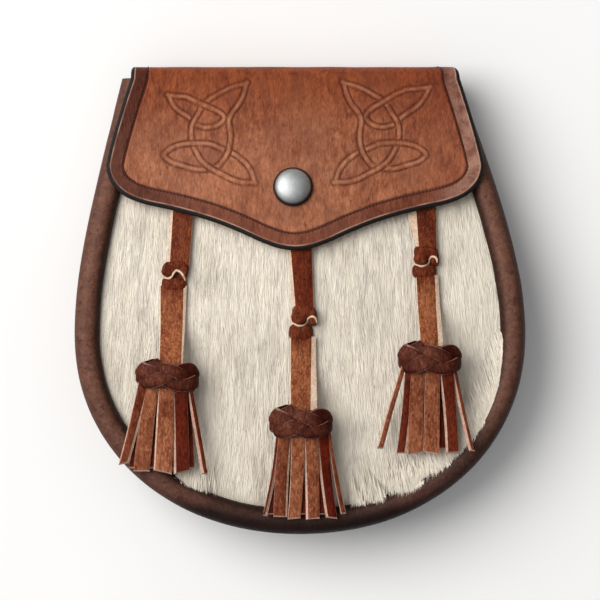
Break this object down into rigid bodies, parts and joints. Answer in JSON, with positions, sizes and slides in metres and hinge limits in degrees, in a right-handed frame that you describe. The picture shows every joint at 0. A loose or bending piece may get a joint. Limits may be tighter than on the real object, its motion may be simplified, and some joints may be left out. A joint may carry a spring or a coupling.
{
  "type": "sporran pouch",
  "caption": "Hair-fronted leather sporran pouch with an embossed flap held by a press stud, a rolled leather gusset, knotted tassels and belt loops at the back.",
  "frame": {"origin": "on the surface that the pouch lies on, under the middle of its outline", "axes": "+Z out of the hair front, +Y towards the fold at the pouch's closed top, +X to the right as seen from the front"},
  "size_m": [0.171, 0.178, 0.0447],
  "materials": {
    "tan_leather": "tan full-grain leather, antiqued, semi-matt",
    "dark_leather": "dark brown smooth leather, soft sheen",
    "strap_leather": "red-brown leather with pale cut edges",
    "fringe_leather": "soft brown leather thongs with pale cut edges",
    "hair_hide": "cream hair-on hide, nap laid downwards",
    "satin_nickel": "satin nickel plate"
  },
  "bodies": {
    "root": {"back_and_flap": "tan_leather", "gusset": "dark_leather", "front_panel": "hair_hide", "snap_cap": "satin_nickel", "snap_stud": "satin_nickel", "belt_loop_left": "dark_leather", "belt_loop_right": "dark_leather", "tassel_strap_left": "strap_leather", "tassel_strap_middle": "strap_leather", "tassel_strap_right": "strap_leather", "tassel_left": "fringe_leather", "tassel_middle": "fringe_leather", "tassel_right": "fringe_leather"}
  },
  "joints": []
}
